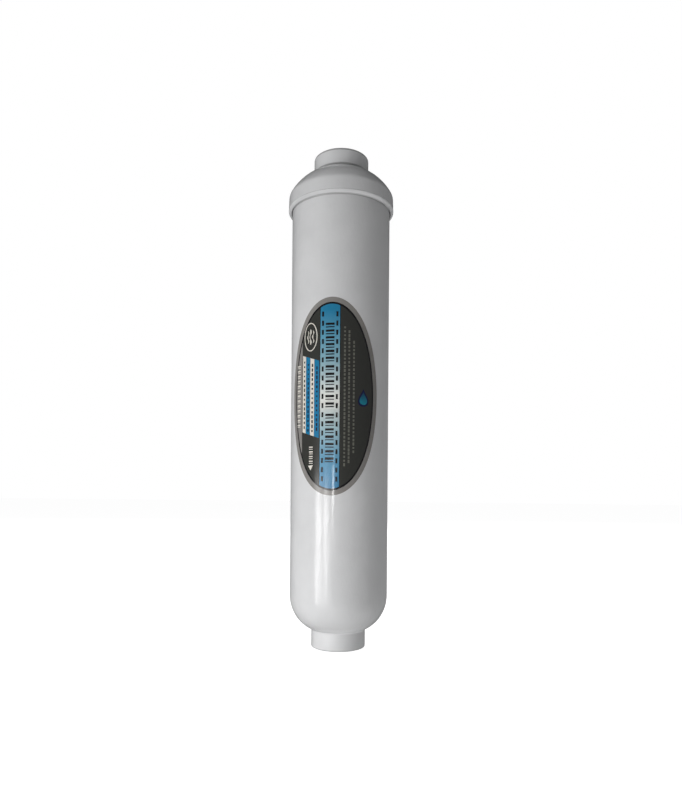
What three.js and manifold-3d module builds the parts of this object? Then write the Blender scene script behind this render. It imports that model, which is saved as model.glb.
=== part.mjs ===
// Inline carbon water filter, 2 in by 10 in, with a 1/4-18 NPT female port in each end.
// Millimetres, +Z up. The origin is the centre of the outlet boss's end face, and the axis is Z.
// Water enters at the top, through the end cap, and leaves at the bottom, through the housing.
import * as THREE from "three";
import { mergeVertices } from "three/addons/utils/BufferGeometryUtils.js";
import Module from "manifold-3d";

const wasm = await Module();
wasm.setup();

// ---- Driving dimensions ----

const LENGTH = 254; // end face to end face
const TUBE_R = 25.4;
const WALL = 2.8;
const BOSS_R = 14.1;
const EDGE_R = 0.7; // rounding of a moulded outer edge
const SEGMENTS = 48; // facets round the axis
const GAP = 0.2; // between two pieces that touch in the real filter

// The housing's domed end: an ellipse that runs from the tube's side into the boss.
const HOUSING_DOME = { startZ: 27, radial: 18, axial: 19 };
const HOUSING_DOME_INSIDE = { radial: 14, axial: 16.2 };
const LEDGE_Z = HOUSING_DOME.startZ; // the outlet grate rests here
const TUBE_TOP = 234.4;

// The end cap: a skirt over the tube's end, a spigot inside it, and a lower dome.
const SKIRT_R = 27.35;
const SKIRT_BORE_R = 25.6;
const LIP_Z = 225.4;
const LIP_R = 26; // the skirt's lower edge, before it rounds out to SKIRT_R
const LIP_ROUND_H = 3.1;
const CAP_DOME = { startZ: 232, radial: 19, axial: 14 };
const CAP_DOME_INSIDE = { radial: 12, axial: 10.5 };
const SPIGOT_R = 22.35;
const SPIGOT_BORE_R = 20;
const SPIGOT_END = 224.6;

// Both ends: a hub round the port inside the dome, and radial ribs that hold the grate flat.
const HUB_R = 9;
const HUB_DEPTH = 14; // end face to the hub's inner face
const RIB_COUNT = 6;
const RIB_T = 1.6;
const RIB_BITE = 1; // how far a rib runs into the dome's wall
const RIB_INNER_R = 8;

// 1/4-18 NPT, internal: the sizes are at the mouth, and the thread tapers 1 in 16 on diameter.
const THREAD = { pitch: 25.4 / 18, majorR: 6.81, minorR: 5.68, taper: 1 / 32, depth: 12, facets: 24 };
const BORE_R = 5.3; // the plain bore past the thread
const COUNTERSINK_R = 7.3;

// The stack inside the tube, from the outlet up.
const STACK_R = TUBE_R - WALL - 0.3;
const GRATE = { thick: 2, rimHeight: 0.8, rimWidth: 1.1, hubR: 3.4, bars: 1.4, rings: 4, spokes: 8 };
const SCREEN = { radius: 21, thick: 0.4, edge: 0.1 };
const FELT_T = 5;
const FOAM_T = 8;
const PAD_EDGE = 0.5;

// The label: an ellipse on the unrolled tube, centred on the front.
const LABEL = { halfWidth: 24.5, halfHeight: 48.2, centreZ: 127.2, thick: 0.2, offset: 0.15 };

// ---- Solids from geometry, and back ----

const point = (r, z) => new THREE.Vector2(r, z);

// A closed three.js geometry as a solid that can be joined and cut.
function solid(geometry) {
  const bare = geometry.clone();
  bare.deleteAttribute("normal");
  bare.deleteAttribute("uv");
  const merged = mergeVertices(bare, 1e-4);
  return new wasm.Manifold(
    new wasm.Mesh({
      numProp: 3,
      vertProperties: new Float32Array(merged.attributes.position.array),
      triVerts: new Uint32Array(merged.index.array),
    }),
  );
}

function geometryOf(made) {
  const mesh = made.getMesh();
  const geometry = new THREE.BufferGeometry();
  geometry.setAttribute("position", new THREE.BufferAttribute(mesh.vertProperties, 3));
  geometry.setIndex(new THREE.BufferAttribute(mesh.triVerts, 1));
  geometry.computeVertexNormals();
  return geometry;
}

// A profile of radius and height, turned round Z.
function turned(profile) {
  return new THREE.LatheGeometry(profile, SEGMENTS).rotateX(Math.PI / 2);
}

// Points of an ellipse about (r, z), from one angle to another, in radians from the outward direction.
function ellipsePoints(r, z, radial, axial, from, to, steps) {
  return Array.from({ length: steps + 1 }, (_, i) => {
    const angle = from + ((to - from) * i) / steps;
    return point(r + radial * Math.cos(angle), z + axial * Math.sin(angle));
  });
}

// A disc with a small chamfer round each face.
function disc(radius, low, high, edge) {
  return turned([
    point(0, low),
    point(radius - edge, low),
    point(radius, low + edge),
    point(radius, high - edge),
    point(radius - edge, high),
    point(0, high),
  ]);
}

// ---- The threaded port, cut from both ends ----

// A tapered screw that fills the thread. Its mouth is at z = 0, and it runs up into the part.
// One helix of vertices follows the roots and one the crests, half a pitch on.
function threadGeometry() {
  const { pitch, majorR, minorR, taper, depth, facets } = THREAD;
  const turns = Math.ceil(depth / pitch) + 1;
  const startZ = depth - turns * pitch;
  const positions = [];
  const helixPoint = (radiusAtMouth, turn, lift) => {
    const z = startZ + pitch * (turn + lift);
    const radius = radiusAtMouth - taper * z;
    const angle = 2 * Math.PI * turn;
    positions.push(radius * Math.cos(angle), radius * Math.sin(angle), z);
  };
  const count = turns * facets + 1;
  for (let i = 0; i < count; i++) helixPoint(majorR, i / facets, 0);
  for (let i = 0; i < count; i++) helixPoint(minorR, i / facets, 0.5);
  const root = (i) => i;
  const crest = (i) => count + i;
  const index = [];
  const quad = (a, b, c, d) => index.push(a, b, c, a, c, d);
  for (let i = 0; i < count - 1; i++) quad(root(i), root(i + 1), crest(i + 1), crest(i));
  for (let i = 0; i < count - 1 - facets; i++)
    quad(crest(i), crest(i + 1), root(i + 1 + facets), root(i + facets));
  const low = 2 * count;
  const high = low + 1;
  positions.push(0, 0, startZ - pitch, 0, 0, depth + 2 * pitch);
  for (let i = 0; i < facets; i++) {
    index.push(low, root(i + 1), root(i));
    index.push(high, crest(count - 1 - facets + i), crest(count - facets + i));
  }
  index.push(low, crest(0), root(facets), low, root(0), crest(0));
  index.push(high, root(count - 1), crest(count - 1 - facets));
  index.push(high, crest(count - 1), root(count - 1));
  const geometry = new THREE.BufferGeometry();
  geometry.setAttribute("position", new THREE.Float32BufferAttribute(positions, 3));
  geometry.setIndex(index);
  return geometry;
}

// All that is cut for one port. end is "outlet" at z = 0 or "inlet" at z = LENGTH.
function portCut(end) {
  const past = 3; // how far a cutter runs past a face
  const bore = turned([
    point(0, -past),
    point(BORE_R, -past),
    point(BORE_R, HUB_DEPTH + past),
    point(0, HUB_DEPTH + past),
  ]);
  const flare = COUNTERSINK_R - BORE_R; // the countersink stands at 45 degrees
  const countersink = turned([
    point(0, -past),
    point(COUNTERSINK_R + past, -past),
    point(BORE_R, flare),
    point(0, flare),
  ]);
  const cutters = [bore, countersink, threadGeometry()];
  if (end === "inlet") cutters.forEach((g) => g.rotateX(Math.PI).translate(0, 0, LENGTH));
  return cutters.map(solid).reduce((all, next) => all.add(next));
}

// Upright ribs round the axis. outline is one rib's shape in radius and height.
function addRibs(body, outline) {
  let made = body;
  for (let i = 0; i < RIB_COUNT; i++) {
    const rib = new THREE.ExtrudeGeometry(outline, { depth: RIB_T, bevelEnabled: false })
      .translate(0, 0, -RIB_T / 2)
      .rotateX(Math.PI / 2)
      .rotateZ((2 * Math.PI * (i + 0.5)) / RIB_COUNT);
    made = made.add(solid(rib));
  }
  return made;
}

// ---- The pieces ----

// Tube, domed end and outlet boss in one moulding.
function housing() {
  const { startZ, radial, axial } = HOUSING_DOME;
  const inside = HOUSING_DOME_INSIDE;
  const domeR = TUBE_R - radial;
  const bossAngle = Math.acos((BOSS_R - domeR) / radial);
  const hubAngle = Math.acos((HUB_R - domeR) / inside.radial);
  const tubeBore = TUBE_R - WALL;
  const chamfer = 0.5;
  const shell = turned([
    point(0, 0),
    ...ellipsePoints(BOSS_R - EDGE_R, EDGE_R, EDGE_R, EDGE_R, -Math.PI / 2, 0, 3),
    ...ellipsePoints(domeR, startZ, radial, axial, -bossAngle, 0, 9),
    point(TUBE_R, TUBE_TOP - chamfer),
    point(TUBE_R - chamfer, TUBE_TOP),
    point(tubeBore + chamfer, TUBE_TOP),
    point(tubeBore, TUBE_TOP - chamfer),
    point(tubeBore, LEDGE_Z),
    ...ellipsePoints(domeR, startZ, inside.radial, inside.axial, 0, -hubAngle, 6),
    point(HUB_R, HUB_DEPTH),
    point(0, HUB_DEPTH),
  ]);
  const ribEnd = Math.acos((RIB_INNER_R - domeR) / (inside.radial + RIB_BITE));
  const rib = new THREE.Shape([
    point(RIB_INNER_R, LEDGE_Z),
    ...ellipsePoints(
      domeR, startZ, inside.radial + RIB_BITE, inside.axial + RIB_BITE, -ribEnd, 0, 6,
    ),
  ]);
  return geometryOf(addRibs(solid(shell), rib).subtract(portCut("outlet")));
}

// Dome, skirt, spigot and inlet boss in one moulding, spin-welded to the tube.
function endCap() {
  const { startZ, radial, axial } = CAP_DOME;
  const inside = CAP_DOME_INSIDE;
  const domeR = SKIRT_R - radial;
  const insideR = SPIGOT_BORE_R - inside.radial;
  const bossAngle = Math.acos((BOSS_R - domeR) / radial);
  const hubAngle = Math.acos((HUB_R - insideR) / inside.radial);
  const hubZ = LENGTH - HUB_DEPTH;
  const grooveZ = TUBE_TOP + GAP;
  const lipR = SKIRT_R - LIP_R;
  const shell = turned([
    point(0, hubZ),
    point(HUB_R, hubZ),
    ...ellipsePoints(insideR, startZ, inside.radial, inside.axial, hubAngle, 0, 6),
    point(SPIGOT_BORE_R, SPIGOT_END),
    point(SPIGOT_R, SPIGOT_END),
    point(SPIGOT_R, grooveZ),
    point(SKIRT_BORE_R, grooveZ),
    point(SKIRT_BORE_R, LIP_Z),
    ...ellipsePoints(LIP_R, LIP_Z + LIP_ROUND_H, lipR, LIP_ROUND_H, -Math.PI / 2, 0, 4),
    ...ellipsePoints(domeR, startZ, radial, axial, 0, bossAngle, 9),
    ...ellipsePoints(BOSS_R - EDGE_R, LENGTH - EDGE_R, EDGE_R, EDGE_R, 0, Math.PI / 2, 3),
    point(0, LENGTH),
  ]);
  const ribTopR = RIB_INNER_R + 0.5; // where the rib's outline turns in, just under the hub
  const ribEnd = Math.acos((ribTopR - insideR) / (inside.radial + RIB_BITE));
  const rib = new THREE.Shape([
    point(RIB_INNER_R, SPIGOT_END),
    point(SPIGOT_BORE_R + RIB_BITE, SPIGOT_END),
    ...ellipsePoints(
      insideR, startZ, inside.radial + RIB_BITE, inside.axial + RIB_BITE, 0, ribEnd, 6,
    ),
    point(RIB_INNER_R, startZ + inside.axial),
  ]);
  return geometryOf(addRibs(solid(shell), rib).subtract(portCut("inlet")));
}

// A support grate: rings and spokes with a low rim on the side that holds the screen.
// low is the plate's underside, and rimSide is 1 where the rim stands up or -1 where it hangs.
function grate(low, rimSide) {
  const { thick, rimHeight, rimWidth, hubR, bars, rings, spokes } = GRATE;
  const circle = Array.from({ length: SEGMENTS }, (_, i) => {
    const angle = (2 * Math.PI * i) / SEGMENTS;
    return point(STACK_R * Math.cos(angle), STACK_R * Math.sin(angle));
  });
  const plate = new THREE.Shape(circle);
  const step = (STACK_R - bars - hubR) / rings;
  const arcSteps = 4;
  for (let ring = 0; ring < rings; ring++) {
    const inner = hubR + ring * step;
    const outer = inner + step - bars;
    for (let spoke = 0; spoke < spokes; spoke++) {
      const middle = (2 * Math.PI * (spoke + 0.5)) / spokes;
      const reach = (radius) => Math.PI / spokes - Math.asin(bars / 2 / radius);
      const along = (radius, side) =>
        Array.from({ length: arcSteps + 1 }, (_, i) => {
          const angle = middle + side * reach(radius) * ((2 * i) / arcSteps - 1);
          return point(radius * Math.cos(angle), radius * Math.sin(angle));
        });
      plate.holes.push(new THREE.Path([...along(outer, 1), ...along(inner, -1)]));
    }
  }
  const flat = new THREE.ExtrudeGeometry(plate, { depth: thick, bevelEnabled: false });
  const bite = 0.5; // the rim runs this far into the plate
  const rimLow = rimSide > 0 ? thick - bite : -rimHeight;
  const rimHigh = rimSide > 0 ? thick + rimHeight : bite;
  const rim = turned([
    point(STACK_R - rimWidth, rimLow),
    point(STACK_R, rimLow),
    point(STACK_R, rimHigh),
    point(STACK_R - rimWidth, rimHigh),
    point(STACK_R - rimWidth, rimLow),
  ]);
  return geometryOf(solid(flat).add(solid(rim))).translate(0, 0, low);
}

// A disc of woven mesh, cut a little smaller than the grate's rim.
function screen(low) {
  return disc(SCREEN.radius, low, low + SCREEN.thick, SCREEN.edge);
}

// A pad, or the packed carbon, that fills the tube's bore.
function pad(low, thick) {
  return disc(STACK_R, low, low + thick, PAD_EDGE);
}

// The printed label, bent round the tube: a thin sleeve cut to the label's outline seen from the front.
function label() {
  const { halfWidth, halfHeight, centreZ, thick, offset } = LABEL;
  const inner = TUBE_R + offset;
  const outer = inner + thick;
  const past = 1; // how far the sleeve runs past the outline
  const low = centreZ - halfHeight - past;
  const high = centreZ + halfHeight + past;
  const sleeve = turned([
    point(inner, low),
    point(outer, low),
    point(outer, high),
    point(inner, high),
    point(inner, low),
  ]);
  const outlineSteps = 64;
  const outline = Array.from({ length: outlineSteps }, (_, i) => {
    const angle = (2 * Math.PI * i) / outlineSteps;
    const round = (halfWidth * Math.cos(angle)) / TUBE_R;
    return point(TUBE_R * Math.sin(round), centreZ + halfHeight * Math.sin(angle));
  });
  const cutter = new THREE.ExtrudeGeometry(new THREE.Shape(outline), {
    depth: 2 * TUBE_R,
    bevelEnabled: false,
  }).rotateX(Math.PI / 2);
  return geometryOf(solid(sleeve).intersect(solid(cutter)));
}

// ---- Materials ----

function finish(color, roughness) {
  return new THREE.MeshStandardMaterial({ color, roughness, metalness: 0 });
}
const whitePlastic = finish(0xe4e4e6, 0.35);
const clearWhitePlastic = finish(0xeeeeee, 0.5);
const nylonMesh = finish(0xf2f2ee, 0.6);
const feltWhite = finish(0xf0efe8, 0.95);
const foamWhite = finish(0xe6e2d4, 0.95);
const carbonBlack = finish(0x161616, 0.9);
const printedFilm = finish(0x8f8b88, 0.3);

// ---- The assembly, from the outlet up ----

const filter = new THREE.Group();
filter.name = "inline_water_filter";

function addPiece(name, geometry, material) {
  const mesh = new THREE.Mesh(geometry, material);
  mesh.name = name;
  filter.add(mesh);
}

const outletGrateZ = LEDGE_Z + GAP / 2;
const outletScreenZ = outletGrateZ + GRATE.thick + GAP;
const outletFeltZ = outletGrateZ + GRATE.thick + GRATE.rimHeight + GAP;
const carbonLowZ = outletFeltZ + FELT_T + GAP;
const inletGrateZ = SPIGOT_END - GAP - GRATE.thick;
const inletScreenZ = inletGrateZ - GAP - SCREEN.thick;
const foamZ = inletGrateZ - GRATE.rimHeight - GAP - FOAM_T;
const inletFeltZ = foamZ - GAP - FELT_T;
const carbonHighZ = inletFeltZ - GAP;

addPiece("housing", housing(), whitePlastic);
addPiece("outlet_grate", grate(outletGrateZ, 1), clearWhitePlastic);
addPiece("outlet_screen", screen(outletScreenZ), nylonMesh);
addPiece("outlet_felt_pad", pad(outletFeltZ, FELT_T), feltWhite);
addPiece("carbon_bed", pad(carbonLowZ, carbonHighZ - carbonLowZ), carbonBlack);
addPiece("inlet_felt_pad", pad(inletFeltZ, FELT_T), feltWhite);
addPiece("inlet_foam_pad", pad(foamZ, FOAM_T), foamWhite);
addPiece("inlet_screen", screen(inletScreenZ), nylonMesh);
addPiece("inlet_grate", grate(inletGrateZ, -1), clearWhitePlastic);
addPiece("end_cap", endCap(), whitePlastic);
addPiece("label", label(), printedFilm);

export default filter;
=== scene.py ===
import math

import bmesh
import bpy
from mathutils import Matrix, Vector, noise


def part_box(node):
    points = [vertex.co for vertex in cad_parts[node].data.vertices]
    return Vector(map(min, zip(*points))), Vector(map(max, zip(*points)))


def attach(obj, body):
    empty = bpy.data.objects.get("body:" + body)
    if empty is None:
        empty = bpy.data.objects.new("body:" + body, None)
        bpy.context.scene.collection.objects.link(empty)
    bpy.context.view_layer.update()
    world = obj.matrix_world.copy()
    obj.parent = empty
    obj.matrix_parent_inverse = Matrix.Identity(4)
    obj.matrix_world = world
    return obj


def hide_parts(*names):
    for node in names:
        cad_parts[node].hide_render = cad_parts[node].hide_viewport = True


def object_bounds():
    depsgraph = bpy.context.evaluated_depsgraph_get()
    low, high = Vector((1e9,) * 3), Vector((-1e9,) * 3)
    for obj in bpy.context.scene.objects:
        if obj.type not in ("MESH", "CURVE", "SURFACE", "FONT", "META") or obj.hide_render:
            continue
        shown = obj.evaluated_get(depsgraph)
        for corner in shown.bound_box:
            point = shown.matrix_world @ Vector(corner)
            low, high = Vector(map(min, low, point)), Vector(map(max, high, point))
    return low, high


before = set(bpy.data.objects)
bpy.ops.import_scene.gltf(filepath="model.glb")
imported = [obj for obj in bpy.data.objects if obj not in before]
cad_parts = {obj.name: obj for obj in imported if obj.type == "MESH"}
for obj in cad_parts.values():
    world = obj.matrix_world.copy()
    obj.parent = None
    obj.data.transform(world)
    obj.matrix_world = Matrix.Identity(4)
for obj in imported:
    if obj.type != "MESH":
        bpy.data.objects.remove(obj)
cad_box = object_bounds()

# ---- Camera ----
# It stands level in front of the filter, a little to the right of the label's middle, and close
# enough to look up at the cap and down on the outlet boss.
camera_distance = 0.325
camera_height = 0.0817
camera_sidestep = 0.001
camera_turn = math.radians(9.25)
camera_roll = math.radians(0.42)

camera_data = bpy.data.cameras.new("camera")
camera_data.lens = 27.83
camera_data.shift_y = 0.1125
camera = bpy.data.objects.new("camera", camera_data)
camera.matrix_world = (
    Matrix.Rotation(camera_turn, 4, "Z")
    @ Matrix.Translation((camera_sidestep, -camera_distance, camera_height))
    @ Matrix.Rotation(math.pi / 2, 4, "X")
    @ Matrix.Rotation(camera_roll, 4, "Z")
)
bpy.context.scene.collection.objects.link(camera)
bpy.context.scene.camera = camera

# ---- Housing ----
# Tube, domed end and outlet boss are one injection moulding in white polypropylene. A 1/4-18 NPT
# thread is cut down the boss, and a hub stands round it inside the dome.
MM = 0.001
AROUND = 144  # facets round every turned piece
SHARP = math.radians(32)  # edges that turn by more than this stay crisp
tube_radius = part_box("housing")[1].x / MM
tube_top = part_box("housing")[1].z / MM
boss_radius, boss_edge = 14.1, 0.7
port_depth, port_bore, port_mouth = 14, 5.3, 7.3


def arc(centre, radii, start, end, steps):
    """Points of an ellipse from one angle to another, in degrees: 0 is outward and 90 is up."""
    angles = [math.radians(start + (end - start) * i / steps) for i in range(steps + 1)]
    return [(centre[0] + radii[0] * math.cos(a), centre[1] + radii[1] * math.sin(a)) for a in angles]


def fillet(start, corner, end, steps=6):
    """A smooth bend from start to end that leans on the corner."""
    bend = []
    for i in range(steps + 1):
        t = i / steps
        near, middle, far = (1 - t) ** 2, 2 * t * (1 - t), t**2
        bend.append(tuple(near * a + middle * b + far * c for a, b, c in zip(start, corner, end)))
    return bend


def straight(start, end, steps):
    """Evenly spaced points from start towards end, without either of them."""
    return [tuple(a + (b - a) * i / steps for a, b in zip(start, end)) for i in range(1, steps)]


def port_rows(face_z, inward):
    """Rings down a port from its mouth: a countersink, a tapered right-hand thread, then plain bore."""
    pitch, crest, tooth, taper, threaded = 25.4 / 18, 5.68, 1.13, 1 / 32, 12
    row_step, flat = 0.11, 0.06
    rows = []
    for i in range(1, round(port_depth / row_step)):
        depth = i * row_step
        z = face_z + inward * depth
        fade = min(1, max(0, (threaded - depth) / pitch + 0.5))
        ring = []
        for j in range(AROUND):
            phase = (z / pitch - j / AROUND) % 1
            flank = min(1, max(0, (abs(2 * phase - 1) - flat) / (1 - 2 * flat)))
            thread = crest - taper * depth + tooth * flank * fade
            ring.append(max(port_bore, port_mouth - depth, thread))
        rows.append((ring, z))
    return rows


def mesh_of(name, form):
    """The finished form as a mesh."""
    mesh = bpy.data.meshes.new(name)
    form.to_mesh(mesh)
    form.free()
    return mesh


def turned_mesh(name, rows):
    """A closed ring of rows turned round the axis. A row's radius is one number, or one for each facet."""
    form = bmesh.new()
    rings = []
    for radius, z in rows:
        radii = radius if isinstance(radius, list) else [radius] * AROUND
        angles = [2 * math.pi * j / AROUND for j in range(AROUND)]
        rings.append([
            form.verts.new((r * math.cos(a) * MM, r * math.sin(a) * MM, z * MM))
            for r, a in zip(radii, angles)
        ])
    for ring, following in zip(rings, rings[1:] + rings[:1]):
        for j in range(AROUND):
            k = (j + 1) % AROUND
            form.faces.new((ring[j], ring[k], following[k], following[j]))
    bmesh.ops.recalc_face_normals(form, faces=form.faces)
    mesh = mesh_of(name, form)
    mesh.shade_smooth()
    mesh.set_sharp_from_angle(angle=SHARP)
    return mesh


def feed(tree, node, values):
    """Sets a node's inputs, by name or number, to numbers, colours or other nodes' outputs."""
    for key, value in values.items():
        if isinstance(value, bpy.types.NodeSocket):
            tree.links.new(value, node.inputs[key])
        else:
            node.inputs[key].default_value = value


def add_node(tree, kind, values=None, **settings):
    """A new node with its settings, fed with the values."""
    node = tree.nodes.new(kind)
    for key, value in settings.items():
        setattr(node, key, value)
    feed(tree, node, values or {})
    return node


def math_in(tree):
    """A short way to add Math nodes to the tree: it takes an operation and its terms."""
    def math_of(operation, *terms):
        return add_node(tree, "ShaderNodeMath", dict(enumerate(terms)), operation=operation).outputs[0]

    return math_of


def noise_of(tree, place, scale, detail=2.0, distortion=0.0):
    """A noise texture's value, from 0 to 1."""
    values = {"Vector": place, "Scale": scale, "Detail": detail, "Distortion": distortion}
    return add_node(tree, "ShaderNodeTexNoise", values).outputs["Fac"]


def colour_stops(tree, factor, stops):
    """A colour ramp's output. stops are (position, (red, green, blue)) pairs."""
    ramp = add_node(tree, "ShaderNodeValToRGB", {"Fac": factor})
    elements = ramp.color_ramp.elements
    while len(elements) < len(stops):
        elements.new(1.0)
    for element, (position, colour) in zip(elements, stops):
        element.position = position
        element.color = (*colour, 1)
    return ramp.outputs["Color"]


def new_material(name):
    """A material with a Principled shader, and its tree, shader and Object coordinates."""
    material = bpy.data.materials.new(name)
    material.use_nodes = True
    tree = material.node_tree
    place = add_node(tree, "ShaderNodeTexCoord").outputs["Object"]
    return material, tree, tree.nodes["Principled BSDF"], place


def add_bump(tree, shader, *layers):
    """Stacks (height output, depth in metres) layers into the shader's normal."""
    normal = None
    for height, depth in layers:
        values = {"Height": height, "Distance": depth, "Strength": 1.0}
        if normal:
            values["Normal"] = normal
        normal = add_node(tree, "ShaderNodeBump", values).outputs["Normal"]
    feed(tree, shader, {"Normal": normal})


# Heights in mm of bands of painted shade along joints, a groove and edges, its reach either side, and how
# much of the white is left there.
painted_shade_lines = [
    (0.5, 0.45, 0.82), (225.35, 0.4, 0.74), (227.03, 0.25, 0.8), (244.8, 0.75, 0.72), (246.0, 0.9, 0.55),
    (253.35, 0.55, 0.55),
]


def white_polypropylene():
    """Semi-gloss moulded plastic: faint clouding, a few specks, painted shade in bands along its joints and
    edges, and a wavy skin.
    """
    material, tree, shader, place = new_material("white_polypropylene")
    cloudy = [(0.3, (0.768, 0.771, 0.778)), (0.7, (0.815, 0.818, 0.824))]
    shade = colour_stops(tree, noise_of(tree, place, 70.0, 4.0), cloudy)
    cells = add_node(tree, "ShaderNodeTexVoronoi", {"Vector": place, "Scale": 62.0, "Randomness": 1.0})
    speck = colour_stops(tree, cells.outputs["Distance"], [(0.0, (0.45, 0.45, 0.45)), (0.014, (1, 1, 1))])
    speckled = add_node(tree, "ShaderNodeVectorMath", {0: shade, 1: speck}, operation="MULTIPLY").outputs[0]
    math_of = math_in(tree)
    height = add_node(tree, "ShaderNodeSeparateXYZ", {0: place}).outputs["Z"]
    # Painted shade: the colour is darkened in a band round each of these heights, where parts meet and at
    # edges.
    painted_shade_factor = 1.0
    for line, reach, left in painted_shade_lines:
        away = math_of("ABSOLUTE", math_of("SUBTRACT", height, line * MM))
        fade = add_node(
            tree, "ShaderNodeMapRange",
            {"Value": away, "From Min": reach * 0.4 * MM, "From Max": reach * MM, "To Min": left},
        ).outputs["Result"]
        painted_shade_factor = math_of("MULTIPLY", painted_shade_factor, fade)
    colour_with_painted_shade = add_node(tree, "ShaderNodeVectorMath", {0: speckled, "Scale": painted_shade_factor}, operation="SCALE")
    stretch = add_node(tree, "ShaderNodeMapping", {"Vector": place, "Scale": (1, 1, 0.6)}).outputs["Vector"]
    grain = noise_of(tree, place, 1500.0)
    gloss = add_node(
        tree, "ShaderNodeMapRange",
        {"Value": grain, "From Min": 0.3, "From Max": 0.7, "To Min": 0.13, "To Max": 0.19},
    )
    feed(tree, shader, {"Base Color": colour_with_painted_shade.outputs[0], "Roughness": gloss.outputs[0], "IOR": 1.49})
    waves, ripple = noise_of(tree, stretch, 190.0, 1.0), noise_of(tree, stretch, 620.0)
    add_bump(tree, shader, (waves, 0.00016), (ripple, 0.00008), (grain, 0.000004))
    return material


def place_piece(name, mesh, material):
    """Links a finished mesh, gives it its material, and lets it ride with the filter."""
    piece = bpy.data.objects.new(name, mesh)
    bpy.context.scene.collection.objects.link(piece)
    mesh.materials.clear()
    mesh.materials.append(material)
    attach(piece, "root")
    return piece


dome_rim, dome_outside, dome_inside = 27, (18, 19), (14, 16.2)
dome_centre = (tube_radius - dome_outside[0], dome_rim)
wall, rim, hub_radius = 2.8, 0.5, 9
bore_radius = tube_radius - wall
housing_rows = [
    (port_mouth, 0), (port_mouth + 0.1, 0), (boss_radius - boss_edge - 0.1, 0),
    *arc((boss_radius - boss_edge, boss_edge), (boss_edge, boss_edge), -90, 0, 6),
    (boss_radius, 1.0), (boss_radius, 8.2),
    *fillet((boss_radius, 8.5), (boss_radius, 9.5), (15.35, 9.95)),
    *arc(dome_centre, dome_outside, -63, 0, 30),
    *straight((tube_radius, dome_rim), (tube_radius, tube_top), 26),
    *arc((tube_radius - rim, tube_top - rim), (rim, rim), 0, 90, 4),
    *arc((bore_radius + rim, tube_top - rim), (rim, rim), 90, 180, 4),
    *straight((bore_radius, tube_top), (bore_radius, dome_rim), 26),
    *arc(dome_centre, dome_inside, 0, -83, 16),
    (hub_radius, 11.2), (hub_radius, port_depth - 0.3), (hub_radius - 0.3, port_depth),
    (port_bore + 0.3, port_depth), (port_bore, port_depth - 0.05),
    *reversed(port_rows(0, 1)),
]
white_plastic = white_polypropylene()
housing = place_piece(
    "moulded_housing", turned_mesh("moulded_housing", housing_rows), white_plastic
)
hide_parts("housing")

# ---- Ribs in both domes ----
# Six thin webs stand round each hub and hold the grate flat, so that the water can spread behind it.
# They are part of the mouldings, and sink a little into the dome's wall.
def new_tree(name, **inputs):
    """An empty Geometry Nodes tree with named inputs, its input node and its output node."""
    kinds = {int: "NodeSocketInt", float: "NodeSocketFloat"}
    tree = bpy.data.node_groups.new(name, "GeometryNodeTree")
    tree.interface.new_socket("Geometry", in_out="OUTPUT", socket_type="NodeSocketGeometry")
    for label, value in inputs.items():
        kind = kinds.get(type(value), value)
        socket = tree.interface.new_socket(label.replace("_", " "), in_out="INPUT", socket_type=kind)
        if kind != value:
            socket.default_value = value
    return tree, add_node(tree, "NodeGroupInput").outputs, add_node(tree, "NodeGroupOutput")


def finish_tree(tree, shapes, given, result, smooth=True):
    """Joins the shapes, makes them real, and gives them the material."""
    join = add_node(tree, "GeometryNodeJoinGeometry")
    for shape in shapes:
        tree.links.new(shape, join.inputs["Geometry"])
    real = add_node(tree, "GeometryNodeRealizeInstances", {"Geometry": join.outputs[0]})
    shaded = add_node(
        tree, "GeometryNodeSetShadeSmooth", {"Geometry": real.outputs[0], "Shade Smooth": smooth}
    )
    painted = add_node(
        tree, "GeometryNodeSetMaterial", {"Geometry": shaded.outputs[0], "Material": given["Material"]}
    )
    feed(tree, result, {"Geometry": painted.outputs[0]})


def grown_mesh(name, tree, **values):
    """Runs a tree on an empty object and returns what it makes as a plain mesh."""
    carrier = bpy.data.objects.new(name, bpy.data.meshes.new(name))
    bpy.context.scene.collection.objects.link(carrier)
    modifier = carrier.modifiers.new(name, "NODES")
    modifier.node_group = tree
    for item in tree.interface.items_tree:
        if item.in_out == "INPUT":
            modifier[item.identifier] = values[item.name.replace(" ", "_")]
    evaluated = carrier.evaluated_get(bpy.context.evaluated_depsgraph_get())
    mesh = bpy.data.meshes.new_from_object(evaluated)
    mesh.name = name
    carrier.modifiers.remove(modifier)
    bpy.data.objects.remove(carrier)
    return mesh


def xyz_in(tree):
    """A short way to add Combine XYZ nodes to the tree."""
    def xyz(x=0.0, y=0.0, z=0.0):
        return add_node(tree, "ShaderNodeCombineXYZ", {"X": x, "Y": y, "Z": z}).outputs[0]

    return xyz


def rib_tree():
    """Copies of one web at even angles round the axis."""
    tree, given, result = new_tree(
        "ribs_round_hub", Web="NodeSocketObject", Count=6, First_Angle=0.0, Material="NodeSocketMaterial"
    )
    math_of, xyz = math_in(tree), xyz_in(tree)
    index = add_node(tree, "GeometryNodeInputIndex").outputs[0]
    step = math_of("DIVIDE", 2 * math.pi, given["Count"])
    turn = math_of("MULTIPLY_ADD", index, step, given["First Angle"])
    web = add_node(tree, "GeometryNodeObjectInfo", {"Object": given["Web"]}).outputs["Geometry"]
    points = add_node(tree, "GeometryNodePoints", {"Count": given["Count"]}).outputs[0]
    ribs = add_node(
        tree, "GeometryNodeInstanceOnPoints", {"Points": points, "Instance": web, "Rotation": xyz(z=turn)}
    )
    finish_tree(tree, [ribs.outputs[0]], given, result, smooth=False)
    return tree


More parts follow.
